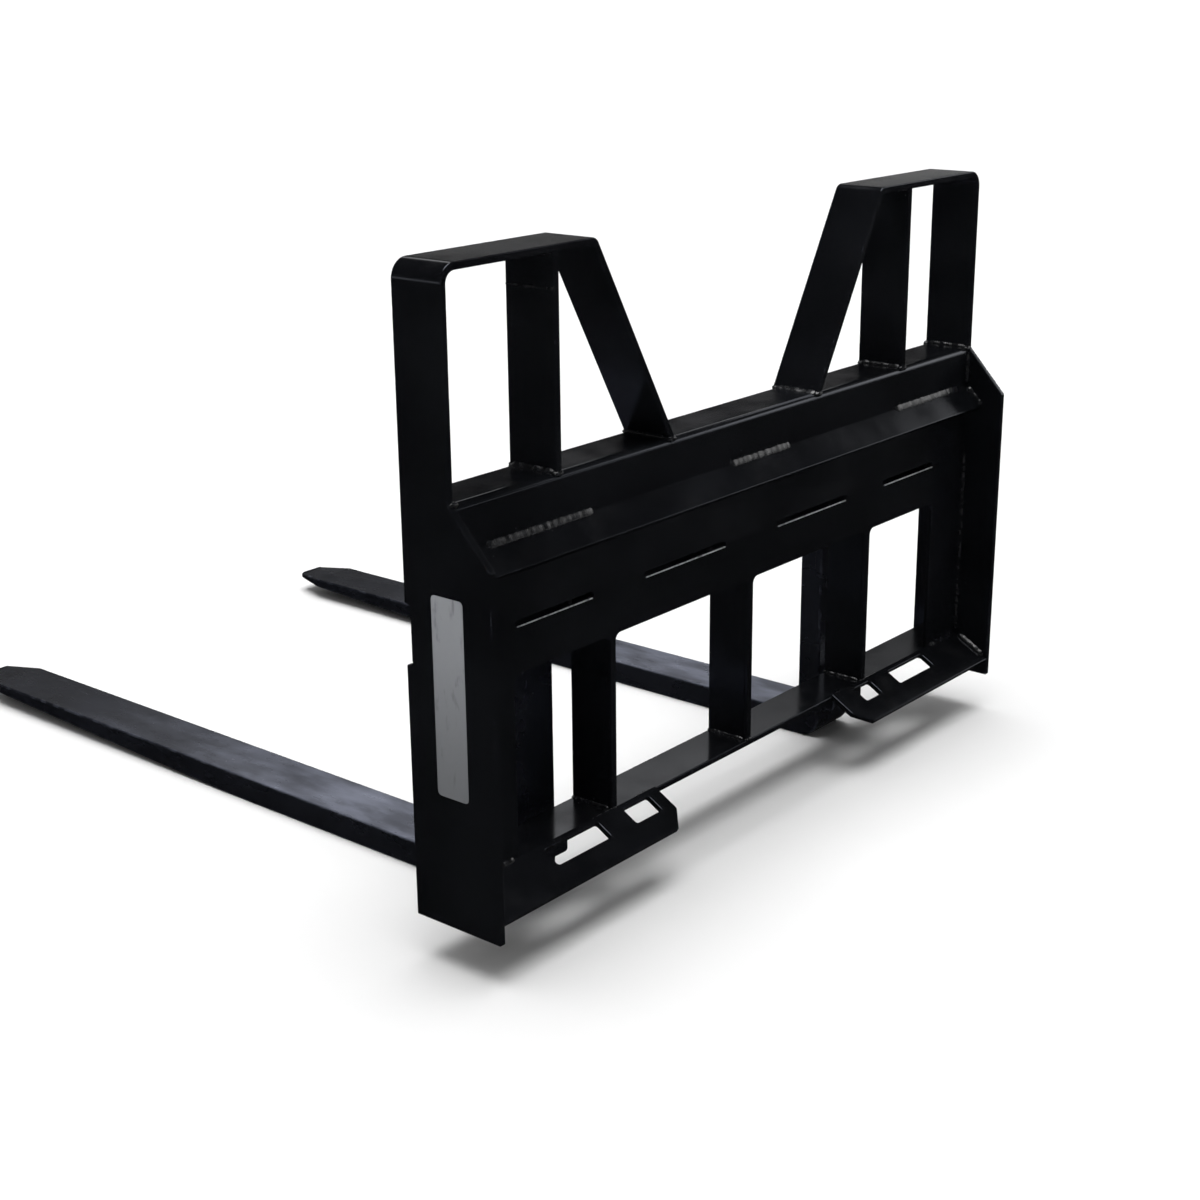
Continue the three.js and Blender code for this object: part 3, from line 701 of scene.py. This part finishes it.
def bracket_welds(side, settings):
    """Both sides of a latch bracket on its side plate, and tacks to the bottom rail."""
    sign = SIDES[side]
    lower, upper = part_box(f"latch_bracket_{side}")
    down = Vector((0, -math.cos(settings.bracket_slope), -math.sin(settings.bracket_slope)))
    above = Vector((0, -math.sin(settings.bracket_slope), math.cos(settings.bracket_slope)))
    corner = Vector((sign * INNER_X, upper.y + WELD_GAP, upper.z))
    length = (upper.y - lower.y) / math.cos(settings.bracket_slope)
    inward = Vector((-sign, 0, 0))
    under = corner - above * BRACKET_PLATE_MM * MM
    heavy = settings.heavy_leg
    beads = [
        (corner + down * 6 * MM, corner + down * (length - 7 * MM), inward, above, heavy, heavy),
        (under + down * 6 * MM, under + down * (length - 7 * MM), inward, -above, heavy, heavy),
    ]
    beads.append((corner + inward * 12 * MM, corner + inward * 84 * MM,
                  down, (0, 0, 1), settings.leg * 0.8, settings.leg * 0.8))
    on_rail = Vector((corner.x, RAIL_LOW.y, RAIL_HIGH.z))
    for first, last in BRACKET_TACKS:
        beads.append((on_rail + inward * first, on_rail + inward * last,
                      (0, 1, 0), (0, 0, 1), settings.leg, corner.z - RAIL_HIGH.z))
    return beads


def upright_welds(settings):
    """Feet of the uprights on the bottom rail and their sides on the fork rail."""
    beads, blobs = [], []
    leg = settings.leg * 0.85
    rail_rear = low("fork_rail").y - WELD_GAP
    for node in UPRIGHTS:
        lower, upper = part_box(node)
        for x, way in ((lower.x, -1), (upper.x, 1)):
            beads.append(((x, FACE_LOW.y + 5 * MM, RAIL_HIGH.z), (x, upper.y - 4 * MM, RAIL_HIGH.z),
                          (way, 0, 0), (0, 0, 1), leg, leg))
            beads.append(((x, rail_rear, low("fork_rail").z + 2 * MM),
                          (x, rail_rear, upper.z - 3 * MM),
                          (way, 0, 0), (0, -1, 0), leg, leg))
        middle = (lower.x + upper.x) / 2
        for y in (FACE_LOW.y + 1.5 * MM, RAIL_HIGH.y - 1.5 * MM):
            blobs.append(((middle, y, RAIL_HIGH.z + 0.8 * MM), Vector((7, 3.2, 3.2)) * MM))
    return beads, blobs


def plate_welds(settings):
    """Face plate, bottom rail and fork bars along the side plates."""
    leg = settings.leg * 0.7
    beads = []
    bend_z = high("upright_left").z - 9 * MM
    for sign in SIDES.values():
        x = sign * INNER_X
        inward = (-sign, 0, 0)
        beads.append(((x, FACE_LOW.y, RAIL_HIGH.z + 8 * MM), (x, FACE_LOW.y, bend_z),
                      inward, (0, -1, 0), leg, leg))
        beads.append(((x, RAIL_LOW.y + 12 * MM, RAIL_HIGH.z),
                      (x, RAIL_HIGH.y - 4 * MM, RAIL_HIGH.z), inward, (0, 0, 1), leg, leg))
        for node in ("fork_rail", "lower_fork_bar"):
            lower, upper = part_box(node)
            beads.append(((x, lower.y, lower.z + 3 * MM), (x, lower.y, upper.z - 3 * MM),
                          inward, (0, -1, 0), leg, leg))
    return beads


def slit_highlight_rods(steel):
    """Lines along the lower lip of each slit in the face plate for the bright rods that paint the
    highlight there.
    """
    slit_z = low("fork_rail").z + steel.slit_height
    outer_x = high("side_plate_right").x
    highlight_rods = []
    for sign in SIDES.values():
        for first, last in ((outer_x - 0.252, outer_x - 0.105), (0.059, 0.238)):
            highlight_rods.append(((sign * (first + SLIT_MARGIN), FACE_LOW.y, slit_z),
                          (sign * (last - SLIT_MARGIN), FACE_LOW.y, slit_z)))
    return highlight_rods


def hook_welds(side):
    """Side beads that hold both hooks to a fork's shank."""
    leg = 4.5 * MM
    shank_y = low(f"fork_{side}").y
    beads = []
    for node in (f"top_hook_{side}", f"bottom_hook_{side}"):
        lower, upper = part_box(node)
        if node.startswith("top"):
            seat = (upper.z - 24 * MM, upper.z - 2 * MM)
        else:
            seat = (lower.z + 2 * MM, lower.z + 13 * MM)
        for x, way in ((lower.x, -1), (upper.x, 1)):
            beads.append(((x, shank_y, seat[0]), (x, shank_y, seat[1]),
                          (way, 0, 0), (0, -1, 0), leg, leg))
    return beads


# ---- Stage ----

FLOOR_RADIUS = 600.0  # metres: its edge lies beyond every view
SOFTBOX_SIZE = (3.4, 1.9)
SOFTBOX_PLACE = Vector((5.4, -3.0, 2.3))
SOFTBOX_TARGET = Vector((0, -0.5, 0.5))
# Greys of the sky by elevation in degrees, all round and on the lit wall
SKY_AROUND = ((-90, 0.010), (-2, 0.018), (0.5, 0.70), (3.5, 0.70), (5.5, 0.10), (11.5, 0.012),
              (62, 0.014), (68, 5.0), (90, 5.5))
SKY_WALL = ((19, 0.0), (22, 0.25), (25, 0.9), (28, 0.9), (34, 0.0))
WALL_FADE = (0.28, 0.9)  # cosine from the wall's heading where it starts and where it is full


# ---- Operators ----

class PALLETFORK_OT_stage(bpy.types.Operator):
    """Adds the camera, the pale floor and the soft light"""

    bl_idname = "pallet_fork.stage"
    bl_label = "Stage"

    def execute(self, context):
        settings = context.scene.pallet_fork_stage
        self.add_camera(context, settings)
        self.add_floor(context, settings)
        self.add_light(context, settings)
        context.scene.view_settings.view_transform = "Standard"
        return {"FINISHED"}

    def add_camera(self, context, settings):
        data = bpy.data.cameras.new("camera")
        data.lens = settings.lens
        data.sensor_width = 36
        camera = bpy.data.objects.new("camera", data)
        context.scene.collection.objects.link(camera)
        heading, pitch, roll = settings.camera_heading, settings.camera_pitch, settings.camera_roll
        ahead = Vector((math.cos(heading) * math.cos(pitch), math.sin(heading) * math.cos(pitch),
                        -math.sin(pitch)))
        right = Vector((math.sin(heading), -math.cos(heading), 0))
        down = ahead.cross(right)
        turned_right = right * math.cos(roll) + down * math.sin(roll)
        turned_down = down * math.cos(roll) - right * math.sin(roll)
        turn = Matrix((turned_right, -turned_down, -ahead)).transposed()
        camera.matrix_world = Matrix.Translation(settings.camera_place) @ turn.to_4x4()
        context.scene.camera = camera

    def add_floor(self, context, settings):
        work = bmesh.new()
        bmesh.ops.create_circle(work, cap_ends=True, segments=96, radius=FLOOR_RADIUS)
        mesh = bpy.data.meshes.new("studio_floor")
        work.to_mesh(mesh)
        work.free()
        mesh.materials.append(floor_paint(settings))
        floor = bpy.data.objects.new("studio_floor", mesh)
        floor.visible_glossy = False
        context.scene.collection.objects.link(floor)

    def add_light(self, context, settings):
        """One broad even light from overhead, a low softbox, and the sky around them."""
        lamp = bpy.data.lights.new("overhead_light", "SUN")
        lamp.energy = settings.overhead_light
        lamp.angle = settings.overhead_width
        holder = bpy.data.objects.new("overhead_light", lamp)
        holder.visible_glossy = False  # the sky's own bright top makes the highlights
        context.scene.collection.objects.link(holder)
        holder.location = (0, 0, 5)
        self.add_softbox(context, settings)
        self.add_sky(context, settings)

    def add_softbox(self, context, settings):
        """A low softbox that draws the lower edges of the coupler lip and the top tube."""
        lamp = bpy.data.lights.new("side_softbox", "AREA")
        lamp.shape = "RECTANGLE"
        lamp.size, lamp.size_y = SOFTBOX_SIZE
        lamp.energy = settings.side_light
        holder = bpy.data.objects.new("side_softbox", lamp)
        context.scene.collection.objects.link(holder)
        holder.visible_camera = False
        holder.location = SOFTBOX_PLACE
        away = SOFTBOX_PLACE - SOFTBOX_TARGET
        holder.rotation_euler = away.to_track_quat("Z", "Y").to_euler()

    def add_sky(self, context, settings):
        """A dim sky with a pale band at the horizon and a lit wall on one side of the part."""
        sky = bpy.data.worlds.new("soft_sky")
        context.scene.world = sky
        sky.use_nodes = True
        tree = sky.node_tree
        tree.nodes.clear()

        def node(kind, operation=None):
            made = tree.nodes.new(kind)
            if operation:
                made.operation = operation
            return made

        def grey_ramp(height, stops):
            """Grey that changes with height; each stop is an elevation in degrees and a grey."""
            ramp = node("ShaderNodeValToRGB")
            while len(ramp.color_ramp.elements) < len(stops):
                ramp.color_ramp.elements.new(0.5)
            for element, (elevation, grey) in zip(ramp.color_ramp.elements, stops):
                element.position = (math.sin(math.radians(elevation)) + 1) / 2
                element.color = (grey, grey, grey, 1)
            tree.links.new(height, ramp.inputs["Fac"])
            return ramp.outputs["Color"]

        direction = node("ShaderNodeTexCoord").outputs["Generated"]
        split = node("ShaderNodeSeparateXYZ")
        tree.links.new(direction, split.inputs["Vector"])
        lift = node("ShaderNodeMapRange")
        lift.inputs["From Min"].default_value = -1.0
        tree.links.new(split.outputs["Z"], lift.inputs["Value"])
        height = lift.outputs["Result"]
        around = grey_ramp(height, SKY_AROUND)
        wall = grey_ramp(height, SKY_WALL)
        heading = settings.wall_heading
        facing = node("ShaderNodeVectorMath", "DOT_PRODUCT")
        tree.links.new(direction, facing.inputs[0])
        facing.inputs[1].default_value = (math.cos(heading), math.sin(heading), 0)
        share = node("ShaderNodeMapRange")
        share.interpolation_type = "SMOOTHSTEP"
        share.inputs["From Min"].default_value, share.inputs["From Max"].default_value = WALL_FADE
        tree.links.new(facing.outputs["Value"], share.inputs["Value"])
        lit = node("ShaderNodeMath", "MULTIPLY_ADD")
        for socket, value in zip(lit.inputs, (wall, share.outputs["Result"], around)):
            tree.links.new(value, socket)
        seen = node("ShaderNodeMath", "MAXIMUM")  # the camera itself sees a plain white sky
        tree.links.new(lit.outputs["Value"], seen.inputs[0])
        tree.links.new(node("ShaderNodeLightPath").outputs["Is Camera Ray"], seen.inputs[1])
        light = node("ShaderNodeBackground")
        light.inputs["Color"].default_value = (1, 1, 1, 1)
        tree.links.new(seen.outputs["Value"], light.inputs["Strength"])
        output = node("ShaderNodeOutputWorld")
        tree.links.new(light.outputs["Background"], output.inputs["Surface"])


class PALLETFORK_OT_side_plates(bpy.types.Operator):
    """Adds the two side plates"""

    bl_idname = "pallet_fork.side_plates"
    bl_label = "Side plates"

    def execute(self, context):
        edge = context.scene.pallet_fork_steel.plate_edge
        for side in SIDES:
            steel_piece(f"side_plate_{side}", "frame", edge, square=[(Z, 1)])
        return {"FINISHED"}


class PALLETFORK_OT_top_beam(bpy.types.Operator):
    """Adds the top tube, the coupler lip and the beads along them"""

    bl_idname = "pallet_fork.top_beam"
    bl_label = "Top beam"

    def execute(self, context):
        edge = context.scene.pallet_fork_steel.plate_edge
        steel_piece("top_tube", "frame", edge, welded=[(X, -1), (X, 1)])
        steel_piece("coupler_lip", "frame", edge, welded=[(X, -1), (X, 1), (Y, 1)])
        weld_piece("coupler_lip_welds", "frame", lip_welds(context.scene.pallet_fork_welds))
        return {"FINISHED"}


class PALLETFORK_OT_face_plate(bpy.types.Operator):
    """Adds the rear face plate, its beads on the side plates and the bright rods of painted
    highlight along its slits
    """

    bl_idname = "pallet_fork.face_plate"
    bl_label = "Face plate"

    def execute(self, context):
        edge = context.scene.pallet_fork_steel.plate_edge
        steel_piece("face_plate", "frame", edge * 0.7, welded=[(X, -1), (X, 1), (Z, 1), (Z, -1)])
        weld_piece("face_plate_welds", "frame", plate_welds(context.scene.pallet_fork_welds))
        self.add_slit_highlights(context.scene.pallet_fork_steel)
        return {"FINISHED"}

    def add_slit_highlights(self, steel):
        """One thin bright rod along each slit: a painted highlight."""
        radius = steel.highlight_rod
        work = bmesh.new()
        for start, end in slit_highlight_rods(steel):
            start, end = Vector(start), Vector(end)
            middle = (start + end) / 2
            made = bmesh.ops.create_cone(
                work, cap_ends=True, segments=12, radius1=radius, radius2=radius,
                depth=abs(end.x - start.x))
            for vert in made["verts"]:
                vert.co = middle + Vector((vert.co.z, vert.co.x, vert.co.y))
        for face in work.faces:
            face.smooth = len(face.verts) == 4
        mesh = bpy.data.meshes.new("slit_highlight_rods")
        bmesh.ops.recalc_face_normals(work, faces=work.faces)
        work.to_mesh(mesh)
        work.free()
        place_piece(mesh, "slit_highlight_rods", "frame", "painted_slit_highlight")


class PALLETFORK_OT_uprights(bpy.types.Operator):
    """Adds the uprights, the bottom rail and their beads"""

    bl_idname = "pallet_fork.uprights"
    bl_label = "Uprights and bottom rail"

    def execute(self, context):
        edge = context.scene.pallet_fork_steel.plate_edge
        for node in UPRIGHTS:
            steel_piece(node, "frame", edge, welded=[(Y, -1), (Z, -1)])
        steel_piece("bottom_rail", "frame", edge, welded=[(X, -1), (X, 1)])
        beads, blobs = upright_welds(context.scene.pallet_fork_welds)
        weld_piece("upright_welds", "frame", beads, blobs)
        return {"FINISHED"}


class PALLETFORK_OT_fork_bars(bpy.types.Operator):
    """Adds the notched fork rail and the lower fork bar"""

    bl_idname = "pallet_fork.fork_bars"
    bl_label = "Fork bars"

    def execute(self, context):
        edge = context.scene.pallet_fork_steel.plate_edge
        for node in ("fork_rail", "lower_fork_bar"):
            steel_piece(node, "frame", edge, welded=[(X, -1), (X, 1)])
        return {"FINISHED"}


class PALLETFORK_OT_latch_brackets(bpy.types.Operator):
    """Adds the sloping latch brackets and their beads"""

    bl_idname = "pallet_fork.latch_brackets"
    bl_label = "Latch brackets"

    def execute(self, context):
        edge = context.scene.pallet_fork_steel.plate_edge
        for side, sign in SIDES.items():
            steel_piece(f"latch_bracket_{side}", "frame", edge, welded=[(X, sign), (Y, 1)])
            beads = bracket_welds(side, context.scene.pallet_fork_welds)
            weld_piece(f"latch_bracket_{side}_welds", "frame", beads)
        return {"FINISHED"}


class PALLETFORK_OT_guards(bpy.types.Operator):
    """Adds the two guards with their posts and beads"""

    bl_idname = "pallet_fork.guards"
    bl_label = "Guards"

    def execute(self, context):
        edge = context.scene.pallet_fork_steel.plate_edge
        for side in SIDES:
            steel_piece(f"guard_hoop_{side}", "frame", edge, welded=[(Z, -1)])
            steel_piece(f"guard_post_{side}", "frame", edge, welded=[(Z, -1), (Z, 1)])
            beads, blobs = guard_welds(side, context.scene.pallet_fork_welds)
            weld_piece(f"guard_{side}_welds", "frame", beads, blobs)
        return {"FINISHED"}


class PALLETFORK_OT_forks(bpy.types.Operator):
    """Adds the two forks with their hooks"""

    bl_idname = "pallet_fork.forks"
    bl_label = "Forks"

    def execute(self, context):
        steel = context.scene.pallet_fork_steel
        look = {"finish": "worn_fork_paint", "slot_name": FORK_SLOT}
        for side in SIDES:
            body = f"{side}_fork"
            steel_piece(f"fork_{side}", body, steel.fork_edge, **look)
            for node in (f"top_hook_{side}", f"bottom_hook_{side}"):
                steel_piece(node, body, steel.hook_edge, welded=[(Y, 1)], **look)
            weld_piece(f"fork_{side}_welds", body, hook_welds(side),
                       spatter=False)
        return {"FINISHED"}


class PALLETFORK_OT_latches(bpy.types.Operator):
    """Adds the lift pins with their collars and handles"""

    bl_idname = "pallet_fork.latches"
    bl_label = "Latches"

    def execute(self, context):
        edge = context.scene.pallet_fork_steel.latch_edge
        for side in SIDES:
            for part in ("pin", "collar", "handle"):
                steel_piece(f"latch_{part}_{side}", f"{side}_latch", edge,
                            finish="zinc_plate", slot_name=LATCH_SLOT)
        return {"FINISHED"}


class PALLETFORK_OT_label(bpy.types.Operator):
    """Adds a plain label without marks to the left side plate"""

    bl_idname = "pallet_fork.label"
    bl_label = "Label"

    def execute(self, context):
        settings = context.scene.pallet_fork_label
        lower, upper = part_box("side_plate_left")
        middle = Vector((lower.x, (lower.y + upper.y) / 2, lower.z + settings.centre))
        half_w, half_h, radius = settings.width / 2, settings.height / 2, 6 * MM
        corners = ((1, 1, 0), (-1, 1, 90), (-1, -1, 180), (1, -1, 270))
        work = bmesh.new()
        outline = []
        for side_y, side_z, first in corners:
            for k in range(7):
                turn = math.radians(first + 15 * k)
                outline.append(work.verts.new(middle + Vector((
                    0, side_y * (half_w - radius) + radius * math.cos(turn),
                    side_z * (half_h - radius) + radius * math.sin(turn)))))
        face = work.faces.new(outline)
        raised = bmesh.ops.extrude_face_region(work, geom=[face])
        for vert in [g for g in raised["geom"] if isinstance(g, bmesh.types.BMVert)]:
            vert.co.x -= settings.thickness
        bmesh.ops.recalc_face_normals(work, faces=work.faces)
        mesh = bpy.data.meshes.new("plain_label")
        work.to_mesh(mesh)
        work.free()
        place_piece(mesh, "plain_label", "frame", "label_film")
        return {"FINISHED"}


class PALLETFORK_PT_panel(bpy.types.Panel):
    """Lists the pieces of the pallet fork attachment"""

    bl_idname = "PALLETFORK_PT_panel"
    bl_label = "Pallet fork attachment"
    bl_space_type = "VIEW_3D"
    bl_region_type = "UI"
    bl_category = "Pallet Fork"

    def draw(self, context):
        for group in GROUPS:
            settings = getattr(context.scene, group)
            box = self.layout.box()
            for name in settings.bl_rna.properties.keys():
                if name not in ("rna_type", "name"):
                    box.prop(settings, name)
        for operator in OPERATORS:
            self.layout.operator(operator.bl_idname)


OPERATORS = (
    PALLETFORK_OT_stage,
    PALLETFORK_OT_side_plates,
    PALLETFORK_OT_top_beam,
    PALLETFORK_OT_face_plate,
    PALLETFORK_OT_uprights,
    PALLETFORK_OT_fork_bars,
    PALLETFORK_OT_latch_brackets,
    PALLETFORK_OT_guards,
    PALLETFORK_OT_forks,
    PALLETFORK_OT_latches,
    PALLETFORK_OT_label,
)


def register():
    for made in (*GROUPS.values(), *OPERATORS, PALLETFORK_PT_panel):
        bpy.utils.register_class(made)
    for name, group in GROUPS.items():
        setattr(bpy.types.Scene, name, PointerProperty(type=group))


def unregister():
    for name in GROUPS:
        delattr(bpy.types.Scene, name)
    for made in reversed((*GROUPS.values(), *OPERATORS, PALLETFORK_PT_panel)):
        bpy.utils.unregister_class(made)


def main():
    register()
    for operator in OPERATORS:
        group, name = operator.bl_idname.split(".")
        getattr(getattr(bpy.ops, group), name)()


if __name__ == "__main__":
    main()
